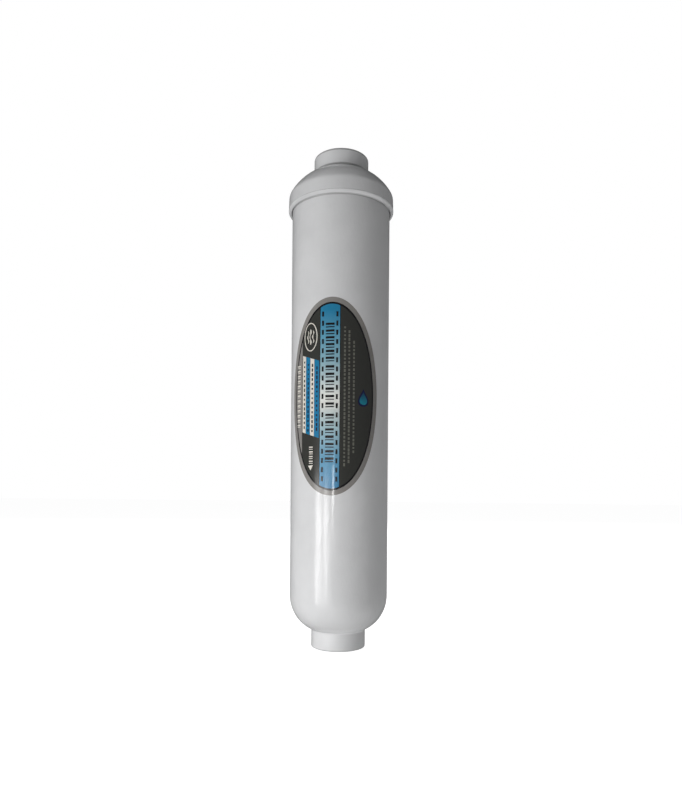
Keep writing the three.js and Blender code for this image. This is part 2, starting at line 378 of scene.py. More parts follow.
def web_object(outline, thickness=1.6, edge=0.25):
    """One web: its outline in radius and height, as a plate with bevelled edges."""
    form = bmesh.new()
    corners = [form.verts.new((r * MM, -thickness / 2 * MM, z * MM)) for r, z in outline]
    plate = form.faces.new(corners)
    grown = bmesh.ops.extrude_face_region(form, geom=[plate])["geom"]
    moved = [item for item in grown if isinstance(item, bmesh.types.BMVert)]
    bmesh.ops.translate(form, verts=moved, vec=(0, thickness * MM, 0))
    bmesh.ops.recalc_face_normals(form, faces=form.faces)
    sharp = [e for e in form.edges if e.calc_face_angle(0) > math.radians(60)]
    bmesh.ops.bevel(form, geom=sharp, offset=edge * MM, segments=2, affect="EDGES")
    web = bpy.data.objects.new("web", mesh_of("web", form))
    bpy.context.scene.collection.objects.link(web)
    return web


ribs_round_hub = rib_tree()


def add_ribs(name, outline):
    """Six webs with one outline, as a piece of their own."""
    web = web_object(outline)
    mesh = grown_mesh(
        name, ribs_round_hub, Web=web, Count=6, First_Angle=math.pi / 6, Material=white_plastic
    )
    bpy.data.objects.remove(web)
    return place_piece(name, mesh, white_plastic)


rib_inner = 8
sunk_dome = (dome_inside[0] + 1, dome_inside[1] + 1)
add_ribs("outlet_ribs", [(rib_inner, dome_rim), *reversed(arc(dome_centre, sunk_dome, -87, 0, 10))])

# ---- Support grates ----
# Two moulded discs of rings and spokes in natural polypropylene. One rests on the housing's ledge and
# one is pressed down by the cap. A low rim on each holds its screen.
def natural_polypropylene():
    """Uncoloured moulded plastic: milky, with a satin skin."""
    material, tree, shader, place = new_material("natural_polypropylene")
    cloud = noise_of(tree, place, 160.0, 3.0)
    milk = colour_stops(tree, cloud, [(0.3, (0.80, 0.80, 0.78)), (0.7, (0.87, 0.87, 0.86))])
    feed(tree, shader, {
        "Base Color": milk, "Roughness": 0.45, "Subsurface Weight": 0.2, "Subsurface Scale": 0.001,
    })
    add_bump(tree, shader, (noise_of(tree, place, 1800.0), 0.000015))
    return material


def grate_tree():
    """Rings, spokes, a hub and a rim. Rim Side is 1 where the rim stands up and -1 where it hangs."""
    tree, given, result = new_tree(
        "support_grate", Rings=4, Spokes=8, Outer_Radius=0.0, Hub_Radius=0.0, Bar_Width=0.0, Thickness=0.0,
        Rim_Width=0.0, Rim_Height=0.0, Rim_Side=1.0, Height=0.0, Material="NodeSocketMaterial",
    )
    math_of, xyz = math_in(tree), xyz_in(tree)

    def swept(curve, width, height):
        section = add_node(
            tree, "GeometryNodeCurvePrimitiveQuadrilateral", {"Width": width, "Height": height}
        ).outputs[0]
        soft = add_node(
            tree, "GeometryNodeFilletCurve", {"Curve": section, "Radius": 0.2 * MM, "Count": 2}, mode="POLY"
        )
        upright = add_node(tree, "GeometryNodeSetCurveNormal", {"Curve": curve}, mode="Z_UP")
        return add_node(
            tree, "GeometryNodeCurveToMesh",
            {"Curve": upright.outputs[0], "Profile Curve": soft.outputs[0], "Fill Caps": True},
        ).outputs[0]

    index = add_node(tree, "GeometryNodeInputIndex").outputs[0]
    reach = math_of("SUBTRACT", given["Outer Radius"], given["Hub Radius"])
    step = math_of("DIVIDE", math_of("SUBTRACT", reach, given["Bar Width"]), given["Rings"])
    ring_number = math_of("ADD", index, 1.0)
    first_ring = math_of("SUBTRACT", given["Hub Radius"], 0.7 * MM)
    ring_radius = math_of("MULTIPLY_ADD", ring_number, step, first_ring)
    circle = add_node(tree, "GeometryNodeCurvePrimitiveCircle", {"Resolution": 96, "Radius": 1.0}).outputs[0]
    ring_points = add_node(tree, "GeometryNodePoints", {"Count": given["Rings"]}).outputs[0]
    rings = add_node(
        tree, "GeometryNodeInstanceOnPoints",
        {"Points": ring_points, "Instance": circle, "Scale": xyz(ring_radius, ring_radius, 1.0)},
    ).outputs[0]
    real_rings = add_node(tree, "GeometryNodeRealizeInstances", {"Geometry": rings}).outputs[0]

    spoke_start = xyz(math_of("MULTIPLY", given["Hub Radius"], 0.9))
    spoke_end = xyz(math_of("SUBTRACT", given["Outer Radius"], 0.5 * MM))
    line = add_node(
        tree, "GeometryNodeCurvePrimitiveLine", {"Start": spoke_start, "End": spoke_end}
    ).outputs[0]
    turn = math_of("MULTIPLY", index, math_of("DIVIDE", 2 * math.pi, given["Spokes"]))
    spoke_points = add_node(tree, "GeometryNodePoints", {"Count": given["Spokes"]}).outputs[0]
    spokes = add_node(
        tree, "GeometryNodeInstanceOnPoints",
        {"Points": spoke_points, "Instance": line, "Rotation": xyz(z=turn)},
    ).outputs[0]
    real_spokes = add_node(tree, "GeometryNodeRealizeInstances", {"Geometry": spokes}).outputs[0]

    hub = add_node(
        tree, "GeometryNodeMeshCylinder",
        {"Vertices": 64, "Radius": given["Hub Radius"], "Depth": given["Thickness"]},
    ).outputs["Mesh"]
    rim_radius = math_of("MULTIPLY_ADD", given["Rim Width"], -0.5, given["Outer Radius"])
    rim_curve = add_node(
        tree, "GeometryNodeCurvePrimitiveCircle", {"Resolution": 144, "Radius": rim_radius}
    ).outputs[0]
    rim_depth = math_of("ADD", given["Thickness"], given["Rim Height"])
    rim_lift = math_of("MULTIPLY", math_of("MULTIPLY", given["Rim Height"], 0.5), given["Rim Side"])
    rim_ring = add_node(
        tree, "GeometryNodeTransform",
        {"Geometry": swept(rim_curve, given["Rim Width"], rim_depth), "Translation": xyz(z=rim_lift)},
    ).outputs[0]
    plate = add_node(tree, "GeometryNodeJoinGeometry")
    bars = [swept(c, given["Bar Width"], given["Thickness"]) for c in (real_rings, real_spokes)]
    for shape in [*bars, hub, rim_ring]:
        tree.links.new(shape, plate.inputs["Geometry"])
    middle = math_of("MULTIPLY_ADD", given["Thickness"], 0.5, given["Height"])
    lifted = add_node(
        tree, "GeometryNodeTransform", {"Geometry": plate.outputs[0], "Translation": xyz(z=middle)}
    ).outputs[0]
    finish_tree(tree, [lifted], given, result, smooth=False)
    return tree


stack_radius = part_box("carbon_bed")[1].x / MM
rim_height = 0.8
support_grate = grate_tree()
clear_plastic = natural_polypropylene()


def add_grate(node, rim_side):
    """The grate that stands for one CAD grate, with its rim up or down."""
    low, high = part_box(node)
    height = low.z if rim_side > 0 else low.z + rim_height * MM
    mesh = grown_mesh(
        "moulded_" + node, support_grate, Rings=4, Spokes=8, Outer_Radius=stack_radius * MM,
        Hub_Radius=3.4 * MM, Bar_Width=1.4 * MM, Thickness=2 * MM, Rim_Width=1.1 * MM,
        Rim_Height=rim_height * MM, Rim_Side=float(rim_side), Height=height, Material=clear_plastic,
    )
    piece = place_piece("moulded_" + node, mesh, clear_plastic)
    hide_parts(node)


add_grate("outlet_grate", 1)
add_grate("inlet_grate", -1)

# ---- Screens ----
# Discs of plain-woven nylon mesh lie against the grates and keep carbon fines out of the water.
# They are die-cut, and the grate's rim holds them round the edge.
def woven_nylon():
    """Pale monofilament with a soft shine."""
    material, tree, shader, place = new_material("woven_nylon")
    tone = noise_of(tree, place, 400.0)
    pale = colour_stops(tree, tone, [(0.3, (0.80, 0.80, 0.76)), (0.7, (0.90, 0.90, 0.87))])
    feed(tree, shader, {"Base Color": pale, "Roughness": 0.4})
    return material


def weave_tree():
    """Two crossing sets of strands that pass over and under each other, cut to a disc."""
    tree, given, result = new_tree(
        "woven_screen", Strands=41, Samples=120, Radius=0.0, Pitch=0.0, Wire=0.0, Height=0.0,
        Material="NodeSocketMaterial",
    )
    math_of, xyz = math_in(tree), xyz_in(tree)
    index = add_node(tree, "GeometryNodeInputIndex").outputs[0]
    half_count = math_of("MULTIPLY", math_of("SUBTRACT", given["Strands"], 1.0), 0.5)
    across = math_of("MULTIPLY", math_of("SUBTRACT", index, half_count), given["Pitch"])
    chord = math_of(
        "SQRT", math_of("SUBTRACT", math_of("POWER", given["Radius"], 2.0), math_of("POWER", across, 2.0))
    )
    points = add_node(
        tree, "GeometryNodePoints", {"Count": given["Strands"], "Position": xyz(across)}
    ).outputs[0]
    line = add_node(
        tree, "GeometryNodeCurvePrimitiveLine", {"Start": (0, -1, 0), "End": (0, 1, 0)}
    ).outputs[0]
    fine = add_node(tree, "GeometryNodeResampleCurve", {"Curve": line, "Count": given["Samples"]}).outputs[0]
    strands = add_node(
        tree, "GeometryNodeInstanceOnPoints",
        {"Points": points, "Instance": fine, "Scale": xyz(1.0, chord, 1.0)},
    ).outputs[0]
    warp = add_node(tree, "GeometryNodeRealizeInstances", {"Geometry": strands}).outputs[0]
    weft = add_node(
        tree, "GeometryNodeTransform", {"Geometry": warp, "Rotation": (0, 0, math.pi / 2)}
    ).outputs[0]
    place = add_node(tree, "GeometryNodeInputPosition").outputs[0]
    parts = add_node(tree, "ShaderNodeSeparateXYZ", {0: place}).outputs
    crossing = math_of("DIVIDE", math_of("ADD", parts["X"], parts["Y"]), given["Pitch"])
    swing = math_of("COSINE", math_of("MULTIPLY", crossing, math.pi))
    wires = []
    for strand, side in ((warp, 0.5), (weft, -0.5)):
        lift = math_of("MULTIPLY_ADD", swing, math_of("MULTIPLY", given["Wire"], side), given["Height"])
        wires.append(add_node(tree, "GeometryNodeSetPosition", {"Geometry": strand, "Offset": xyz(z=lift)}))
    cloth = add_node(tree, "GeometryNodeJoinGeometry")
    for wire in wires:
        tree.links.new(wire.outputs[0], cloth.inputs["Geometry"])
    section = add_node(
        tree, "GeometryNodeCurvePrimitiveCircle",
        {"Resolution": 5, "Radius": math_of("MULTIPLY", given["Wire"], 0.5)},
    ).outputs[0]
    solid = add_node(
        tree, "GeometryNodeCurveToMesh",
        {"Curve": cloth.outputs[0], "Profile Curve": section, "Fill Caps": True},
    ).outputs[0]
    finish_tree(tree, [solid], given, result)
    return tree


woven_screen = weave_tree()
nylon = woven_nylon()
for node in ("outlet_screen", "inlet_screen"):
    low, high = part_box(node)
    mesh = grown_mesh(
        "woven_" + node, woven_screen, Strands=41, Samples=83, Radius=high.x, Pitch=1.0 * MM, Wire=0.2 * MM,
        Height=(low.z + high.z) / 2, Material=nylon,
    )
    screen = place_piece("woven_" + node, mesh, nylon)
    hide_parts(node)

# ---- Felt and foam pads ----
# Needled polyester felt closes both ends of the carbon, and a disc of open-cell foam behind the inlet
# felt keeps the bed packed. All are die-cut discs, squeezed a little fatter at the rim by the tube.
def soft_disc(node, crown, fuzz, fuzz_scale, material):
    """A padded disc in the space of one CAD pad, with its faces pulled in by crown and roughened by fuzz."""
    low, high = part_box(node)
    radius, centre, half = high.x - 0.15 * MM, (low.z + high.z) / 2, (high.z - low.z) / 2
    rings, around = 26, 96
    rim_band, spread, steepness, face = 0.35, 1.12, 2.6, 0.9
    form = bmesh.new()
    rows = []
    for i in range(1, 2 * rings):
        lap = math.pi * i / (2 * rings)
        out = min(1, spread * math.sin(lap)) if abs(math.cos(lap)) > rim_band else 1
        up = math.copysign(min(1, steepness * abs(math.cos(lap))) ** 0.5, math.cos(lap))
        ring = []
        for j in range(around):
            angle = 2 * math.pi * j / around
            r = radius * out * (0.985 if abs(up) > face else 1)
            z = centre + up * (half - crown * MM * (1 - out))
            at = Vector((r * math.cos(angle), r * math.sin(angle), z))
            push = fuzz * MM * noise.fractal(at * fuzz_scale, 0.8, 2.0, 3)
            at.z -= math.copysign(abs(push), up) if abs(up) > 0.5 else 0
            side = 1 - abs(push) / radius if abs(up) <= face else 1
            ring.append(form.verts.new((at.x * side, at.y * side, at.z)))
        rows.append(ring)
    for ring, following in zip(rows, rows[1:]):
        for j in range(around):
            k = (j + 1) % around
            form.faces.new((ring[j], following[j], following[k], ring[k]))
    for ring, up in ((rows[0], 1), (rows[-1], -1)):
        pole = form.verts.new((0, 0, centre + up * (half - crown * MM)))
        for j in range(around):
            form.faces.new((pole, ring[j], ring[(j + 1) % around]))
    bmesh.ops.recalc_face_normals(form, faces=form.faces)
    mesh = mesh_of("soft_" + node, form)
    mesh.shade_smooth()
    pad = place_piece("soft_" + node, mesh, material)
    smooth = pad.modifiers.new("round", "SUBSURF")
    smooth.levels = smooth.render_levels = 1
    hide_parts(node)


def needled_felt():
    """Matt white fibres, matted at random."""
    material, tree, shader, place = new_material("needled_felt")
    fibre = noise_of(tree, place, 900.0, 6.0, 2.5)
    tone = colour_stops(tree, fibre, [(0.3, (0.70, 0.69, 0.65)), (0.7, (0.90, 0.89, 0.85))])
    feed(tree, shader, {"Base Color": tone, "Roughness": 0.95, "Sheen Weight": 0.4, "Sheen Roughness": 0.5})
    add_bump(tree, shader, (fibre, 0.0003))
    return material


def filter_foam():
    """Cream open-cell foam with pores about half a millimetre across; their darkness is painted shade."""
    material, tree, shader, place = new_material("filter_foam")
    pores = add_node(tree, "ShaderNodeTexVoronoi", {"Vector": place, "Scale": 1700.0}).outputs["Distance"]
    # Painted shade: the colour darkens towards each cell's centre, where a pore's hollow would be.
    tone = colour_stops(tree, pores, [(0.15, (0.38, 0.36, 0.30)), (0.55, (0.82, 0.80, 0.70))])
    feed(tree, shader, {"Base Color": tone, "Roughness": 0.95})
    add_bump(tree, shader, (pores, 0.0004))
    return material


felt = needled_felt()
soft_disc("outlet_felt_pad", 0.25, 0.18, 900, felt)
soft_disc("inlet_felt_pad", 0.25, 0.18, 900, felt)
soft_disc("inlet_foam_pad", 0.6, 0.12, 1400, filter_foam())

# ---- Carbon bed ----
# The tube is packed with coconut-shell carbon: hard, dull black, angular grains of 1 to 2 mm. The bed
# is a dark core with loose grains all over its outside.
def activated_carbon():
    """Dull black char with a grey dust on it."""
    material, tree, shader, place = new_material("activated_carbon")
    dust = noise_of(tree, place, 700.0, 5.0)
    black = colour_stops(tree, dust, [(0.35, (0.010, 0.010, 0.011)), (0.8, (0.055, 0.054, 0.052))])
    feed(tree, shader, {"Base Color": black, "Roughness": 0.75})
    add_bump(tree, shader, (dust, 0.0002))
    return material


def granule_tree():
    """A core cylinder with angular grains scattered over it at a fixed seed."""
    tree, given, result = new_tree(
        "packed_granules", Radius=0.0, Low=0.0, High=0.0, Grain=0.0, Spacing=0.0, Seed=7,
        Material="NodeSocketMaterial",
    )
    math_of, xyz = math_in(tree), xyz_in(tree)
    inset_radius = math_of("MULTIPLY_ADD", given["Grain"], -1.0, given["Radius"])
    depth = math_of("MULTIPLY_ADD", given["Grain"], -2.0, math_of("SUBTRACT", given["High"], given["Low"]))
    middle = math_of("MULTIPLY", math_of("ADD", given["High"], given["Low"]), 0.5)
    drum = add_node(
        tree, "GeometryNodeMeshCylinder", {"Vertices": 96, "Radius": inset_radius, "Depth": depth}
    ).outputs["Mesh"]
    core = add_node(
        tree, "GeometryNodeTransform", {"Geometry": drum, "Translation": xyz(z=middle)}
    ).outputs[0]
    scattered = add_node(
        tree, "GeometryNodeDistributePointsOnFaces",
        {"Mesh": core, "Distance Min": given["Spacing"], "Density Max": 900000.0, "Seed": given["Seed"]},
        distribute_method="POISSON",
    ).outputs["Points"]
    grain = add_node(
        tree, "GeometryNodeMeshIcoSphere", {"Radius": given["Grain"], "Subdivisions": 1}
    ).outputs[0]
    tumble = add_node(
        tree, "FunctionNodeRandomValue",
        {0: (0, 0, 0), 1: (6.28, 6.28, 6.28), "Seed": given["Seed"]}, data_type="FLOAT_VECTOR",
    ).outputs[0]
    squash = add_node(
        tree, "FunctionNodeRandomValue",
        {0: (0.55, 0.55, 0.4), 1: (1.0, 0.95, 0.8), "Seed": given["Seed"]}, data_type="FLOAT_VECTOR",
    ).outputs[0]
    grains = add_node(
        tree, "GeometryNodeInstanceOnPoints",
        {"Points": scattered, "Instance": grain, "Rotation": tumble, "Scale": squash},
    ).outputs[0]
    finish_tree(tree, [core, grains], given, result, smooth=False)
    return tree


bed_low, bed_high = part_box("carbon_bed")
carbon = activated_carbon()
bed_mesh = grown_mesh(
    "carbon_granules", granule_tree(), Radius=stack_radius * MM, Low=bed_low.z, High=bed_high.z,
    Grain=1.0 * MM, Spacing=1.65 * MM, Seed=7, Material=carbon,
)
carbon_bed = place_piece("carbon_granules", bed_mesh, carbon)
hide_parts("carbon_bed")

# ---- End cap ----
# The cap is a second white polypropylene moulding. Its spigot goes down the tube, its skirt covers the
# tube's end, and the two are spin-welded together. Its boss has the same thread as the outlet.
cap_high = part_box("end_cap")[1]
skirt_radius = cap_high.x / MM
length = cap_high.z / MM
lip_z, lip_radius = 225.4, 26.15
gap_radius, gap_top, skirt_bore = 25.88, 229, 25.6
bevel_top, bevel_turn = 226.85, 226.5
skirt_top = (27.15, 232.5)
boss_foot, crown_top = 246.1, (14.6, 245.3)
spigot_radius, spigot_bore, spigot_end = 22.35, 20, 224.6
cap_hollow = (12, 10.5)
cap_inside = (spigot_bore - cap_hollow[0], 232)
groove_z = tube_top + 0.2


def shoulder_and_crown(start, radius, lean, end):
    """A tight shoulder that turns in by lean degrees, then one wide arc on to the end point."""
    shoulder = arc((start[0] - radius, start[1]), (radius, radius), 0, lean, 8)
    (near_r, near_z), (far_r, far_z) = shoulder[-1], end
    turn = 2 * (math.degrees(math.atan2(near_r - far_r, far_z - near_z)) - lean)
    wide = math.dist(shoulder[-1], end) / 2 / math.sin(math.radians(turn / 2))
    centre = (near_r - wide * math.cos(math.radians(lean)), near_z - wide * math.sin(math.radians(lean)))
    return shoulder + arc(centre, (wide, wide), lean, lean + turn, 24)[1:]


cap_rows = [
    (port_mouth, length), (port_mouth + 0.1, length), (boss_radius - boss_edge - 0.1, length),
    *arc((boss_radius - boss_edge, length - boss_edge), (boss_edge, boss_edge), 90, 0, 6),
    (boss_radius, length - 1.0), (boss_radius, boss_foot), (boss_radius - 0.25, boss_foot - 0.2),
    (boss_radius - 0.25, crown_top[1] + 0.05), (boss_radius + 0.2, crown_top[1] - 0.1),
    *reversed(shoulder_and_crown(skirt_top, 4, 31, crown_top)),
    *straight(skirt_top, (skirt_radius - 0.02, bevel_top + 0.35), 5),
    (skirt_radius - 0.02, bevel_top + 0.35), (skirt_radius - 0.17, bevel_top + 0.25),
    (skirt_radius - 0.17, bevel_top + 0.1),
    *fillet((skirt_radius, bevel_top), (skirt_radius, bevel_top - 0.2), (skirt_radius - 0.15, bevel_turn), 4),
    *straight((skirt_radius - 0.15, bevel_turn), (lip_radius + 0.1, lip_z + 0.12), 4),
    *fillet((lip_radius + 0.1, lip_z + 0.12), (lip_radius, lip_z), (lip_radius - 0.08, lip_z), 3),
    (gap_radius + 0.05, lip_z), (gap_radius, lip_z + 0.05), (gap_radius, gap_top),
    (skirt_bore, gap_top + 0.2), (skirt_bore, groove_z), (spigot_radius, groove_z),
    (spigot_radius, spigot_end + 0.3), (spigot_radius - 0.3, spigot_end),
    (spigot_bore + 0.3, spigot_end), (spigot_bore, spigot_end + 0.3),
    *arc(cap_inside, cap_hollow, 0, 85, 14),
    (hub_radius, length - port_depth + 0.3), (hub_radius - 0.3, length - port_depth),
    (port_bore + 0.3, length - port_depth), (port_bore, length - port_depth + 0.05),
    *reversed(port_rows(length, -1)),
]
end_cap = place_piece(
    "moulded_end_cap", turned_mesh("moulded_end_cap", cap_rows), white_plastic
)
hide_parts("end_cap")
inlet_rib_top = 243
add_ribs("inlet_ribs", [
    (rib_inner, inlet_rib_top), (rib_inner, spigot_end), (spigot_bore + 0.8, spigot_end),
    *arc(cap_inside, (12.8, 11.3), 0, 80, 8),
])

# ---- Label film ----
# An oval of silver-taupe polyester film, printed in flat inks under a gloss laminate, is stuck round
# the front of the tube. The printed areas below are thin layers stacked on it.
label_low, label_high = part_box("label")
label_middle = (label_low.z + label_high.z) / 2 / MM
label_half = (24.5, (label_high.z - label_low.z) / 2 / MM)
film_lift, film_thickness, ink_thickness = 0.01, 0.09, 0.012


def bend(u, v, height):
    """A point u mm round the tube from the label's middle, v mm up, and height mm off the tube."""
    radius, angle = tube_radius + height, u / tube_radius
    return (radius * math.sin(angle) * MM, -radius * math.cos(angle) * MM, (label_middle + v) * MM)


def printed_mesh(name, outlines, floor, thickness, strip=0.6):
    """Flat outlines in label millimetres, as thin closed plates bent round the tube."""
    form = bmesh.new()
    for outline in outlines:
        form.faces.new([form.verts.new((u, v, 0)) for u, v in outline])
    reach = math.ceil(label_half[0] / strip)
    for i in range(-reach, reach + 1):
        geometry = form.verts[:] + form.edges[:] + form.faces[:]
        bmesh.ops.bisect_plane(form, geom=geometry, plane_co=(i * strip, 0, 0), plane_no=(1, 0, 0), dist=1e-5)
    grown = bmesh.ops.extrude_face_region(form, geom=form.faces[:])["geom"]
    lifted = [item for item in grown if isinstance(item, bmesh.types.BMVert)]
    bmesh.ops.translate(form, verts=lifted, vec=(0, 0, thickness))
    bmesh.ops.recalc_face_normals(form, faces=form.faces)
    for vert in form.verts:
        vert.co = bend(vert.co.x, vert.co.y, floor + vert.co.z)
    bmesh.ops.triangulate(form, faces=[f for f in form.faces if len(f.verts) > 4])
    mesh = mesh_of(name, form)
    mesh.shade_smooth()
    mesh.set_sharp_from_angle(angle=SHARP)
    return mesh


def oval(centre, half, steps=96):
    """An upright ellipse."""
    angles = [2 * math.pi * i / steps for i in range(steps)]
    return [(centre[0] + half[0] * math.cos(a), centre[1] + half[1] * math.sin(a)) for a in angles]


def oval_slice(half, left, right, steps=20):
    """The part of a centred ellipse between two upright lines."""
    across = [left + (right - left) * i / steps for i in range(steps + 1)]
    edge = [(u, half[1] * math.sqrt(max(0, 1 - (u / half[0]) ** 2))) for u in across]
    return [(u, -v) for u, v in edge if v > 0.01] + [(u, v) for u, v in reversed(edge)]


def label_ink(name, stops):
    """One ink under the laminate. stops are heights on the label, in mm, and the ink's colour there."""
    material, tree, shader, place = new_material(name)
    height = add_node(tree, "ShaderNodeSeparateXYZ", {0: place}).outputs["Z"]
    foot, head = ((label_middle + side * label_half[1]) * MM for side in (-1, 1))
    share = add_node(
        tree, "ShaderNodeMapRange", {"Value": height, "From Min": foot, "From Max": head}
    ).outputs[0]
    spots = [((v + label_half[1]) / (2 * label_half[1]), colour) for v, colour in stops]
    flat = colour_stops(tree, share, spots)
    mottle = noise_of(tree, place, 900.0, 3.0)
    uneven = colour_stops(tree, mottle, [(0.3, (0.93, 0.93, 0.93)), (0.7, (1, 1, 1))])
    inked = add_node(tree, "ShaderNodeVectorMath", {0: flat, 1: uneven}, operation="MULTIPLY")
    feed(tree, shader, {
        "Base Color": inked.outputs[0], "Roughness": 0.22, "Coat Weight": 0.4, "Coat Roughness": 0.08,
    })
    stretch = add_node(tree, "ShaderNodeMapping", {"Vector": place, "Scale": (1, 1, 0.25)}).outputs["Vector"]
    add_bump(tree, shader, (noise_of(tree, stretch, 260.0), 0.00004))
    return material


def flat_ink(name, colour):
    """An ink of one colour from the label's foot to its head."""
    return label_ink(name, [(-label_half[1], colour), (label_half[1], colour)])


film_mesh = printed_mesh("label_film", [oval((0, 0), label_half, 160)], film_lift, film_thickness)
silver_taupe = flat_ink("silver_taupe", (0.30, 0.285, 0.27))
film = place_piece("label_film", film_mesh, silver_taupe)
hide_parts("label")


def layer_floor(layer):
    """How far off the tube a layer of ink starts. The first one lies on the film."""
    return film_lift + film_thickness + (layer - 1) * ink_thickness


def print_layer(name, outlines, layer, ink):
    """Outlines printed as one layer over the film."""
    mesh = printed_mesh(name, outlines, layer_floor(layer), ink_thickness)
    return place_piece(name, mesh, ink)


# ---- Label's background print ----
# A black keyline and a charcoal field fill the oval. A silver-taupe strip is left clear down its left
# side, and a band that goes from blue through cream to blue runs down its middle.
keyline_half = (22.0, 45.75)
field_half = (21.15, 44.8)
strip_edge = -16.6
band_left, band_right = -5.62, 4.08
black_ink = flat_ink("black_ink", (0.004, 0.004, 0.005))
charcoal_ink = flat_ink("charcoal_ink", (0.040, 0.041, 0.036))
band_ink = label_ink("band_ink", [
    (-46, (0.05, 0.25, 0.48)), (-30, (0.13, 0.38, 0.58)), (-17, (0.38, 0.58, 0.66)),
    (-9, (0.60, 0.70, 0.71)), (-4, (0.90, 0.91, 0.86)), (1, (0.92, 0.94, 0.90)), (9, (0.54, 0.67, 0.71)),
    (18, (0.28, 0.50, 0.60)), (30, (0.12, 0.38, 0.55)), (42, (0.020, 0.24, 0.44)),
])
print_layer("label_keyline", [oval((0, 0), keyline_half, 160)], 1, black_ink)
print_layer("label_field", [oval((0, 0), field_half, 160)], 2, charcoal_ink)
print_layer("label_strip", [oval_slice(field_half, -field_half[0], strip_edge)], 3, silver_taupe)
print_layer("label_band_edges", [oval_slice(field_half, band_left - 0.3, band_right + 0.3)], 3, black_ink)
print_layer("label_band", [oval_slice(field_half, band_left, band_right)], 4, band_ink)

# ---- Label's stripes ----
# Four stripes with slanted ends, white and blue in turn, stand between the strip and the band.
stripe_edges = [-16.2, -13.9, -11.2, -8.8, -6.1]
stripe_gap = 0.12
stripe_top, top_slant = 20.9, 0.34
stripe_foot, foot_slant = -17.0, 0.32
white_ink = flat_ink("white_ink", (0.88, 0.84, 0.76))
blue_ink = flat_ink("blue_ink", (0.010, 0.22, 0.44))


def stripe(left, right):
    """One stripe: its top and bottom ends slant down to the right."""
    def top(u):
        return stripe_top - top_slant * (u - stripe_edges[0])

    def foot(u):
        return stripe_foot - foot_slant * (u - stripe_edges[0])

    return [(left, foot(left)), (right, foot(right)), (right, top(right)), (left, top(left))]


stripes = [stripe(a, b - stripe_gap) for a, b in zip(stripe_edges, stripe_edges[1:])]
print_layer("label_white_stripes", stripes[0::2], 3, white_ink)
print_layer("label_blue_stripes", stripes[1::2], 3, blue_ink)

# ---- Label's marks ----
# Every line of print is a row of plain bars: broad and fine bars in turn for the title, short dashes
# for the small lines. Two rows of dashes run down the band like stitching.
def mark_tree():
    """A row of bars down the label, bent round the tube. Each length loses up to Spread of itself."""
    tree, given, result = new_tree(
        "row_of_marks", Count=1, Column=0.0, First=0.0, Pitch=0.0, Width=0.0, Length=0.0, Spread=0.0,
        Floor=0.0, Thickness=0.0, Tube_Radius=0.0, Middle=0.0, Seed=0, Material="NodeSocketMaterial",
    )
    math_of, xyz = math_in(tree), xyz_in(tree)
    index = add_node(tree, "GeometryNodeInputIndex").outputs[0]
    down = math_of("SUBTRACT", given["First"], math_of("MULTIPLY", index, given["Pitch"]))
    points = add_node(
        tree, "GeometryNodePoints", {"Count": given["Count"], "Position": xyz(given["Column"], down)}
    ).outputs[0]
    loss = add_node(
        tree, "FunctionNodeRandomValue", {2: 0.0, 3: given["Spread"], "Seed": given["Seed"]},
        data_type="FLOAT",
    ).outputs[1]
    kept_length = math_of("MULTIPLY", given["Length"], math_of("SUBTRACT", 1.0, loss))
    scale = xyz(given["Width"], kept_length, given["Thickness"])
    box = add_node(
        tree, "GeometryNodeMeshCube", {"Size": (1, 1, 1), "Vertices X": 5, "Vertices Y": 2, "Vertices Z": 2}
    ).outputs["Mesh"]
    bars = add_node(
        tree, "GeometryNodeInstanceOnPoints", {"Points": points, "Instance": box, "Scale": scale}
    ).outputs[0]
    real = add_node(tree, "GeometryNodeRealizeInstances", {"Geometry": bars}).outputs[0]
    place = add_node(tree, "GeometryNodeInputPosition").outputs[0]
    flat = add_node(tree, "ShaderNodeSeparateXYZ", {0: place}).outputs
    angle = math_of("DIVIDE", flat["X"], given["Tube Radius"])
    lift = math_of("MULTIPLY_ADD", given["Thickness"], 0.5, given["Floor"])
    radius = math_of("ADD", math_of("ADD", given["Tube Radius"], lift), flat["Z"])
    round_tube = xyz(
        math_of("MULTIPLY", radius, math_of("SINE", angle)),
        math_of("MULTIPLY", math_of("MULTIPLY", radius, math_of("COSINE", angle)), -1.0),
        math_of("ADD", flat["Y"], given["Middle"]),
    )
    bent = add_node(tree, "GeometryNodeSetPosition", {"Geometry": real, "Position": round_tube}).outputs[0]
    finish_tree(tree, [bent], given, result, smooth=False)
    return tree


row_of_marks = mark_tree()


def mark_rows(name, rows, layer, ink):
    """Rows of bars as one piece. A row is column, first bar, last bar, pitch, width, length and spread."""
    form = bmesh.new()
    for seed, (column, first, last, pitch, width, bar, spread) in enumerate(rows):
        part = grown_mesh(
            name, row_of_marks, Count=round((first - last) / pitch) + 1, Column=column * MM,
            First=first * MM, Pitch=pitch * MM, Width=width * MM, Length=bar * MM, Spread=spread,
            Floor=layer_floor(layer) * MM, Thickness=ink_thickness * MM, Tube_Radius=tube_radius * MM,
            Middle=label_middle * MM, Seed=seed, Material=ink,
        )
        form.from_mesh(part)
        bpy.data.meshes.remove(part)
    return place_piece(name, mesh_of(name, form), ink)


stitch_rows = [(-4.35, 40.0, -40.1, 4.45, 1.0, 2.45, 0.0), (2.75, 39.8, -40.3, 4.45, 1.0, 2.45, 0.0)]
title_words = [(34.6, 18.0, 3.3), (13.9, -4.1, 3.6), (-9.6, -30.8, 3.53)]
title_rows = []
for first, last, pitch in title_words:
    title_rows.append((-0.72, first + 0.5, last + 0.5, pitch, 4.3, 1.3, 0.2))
    title_rows.append((-0.72, first - 1.0, last - 1.0, pitch, 4.3, 0.65, 0.3))
mark_rows("label_stitches", stitch_rows, 5, black_ink)
mark_rows("label_title", title_rows, 5, black_ink)

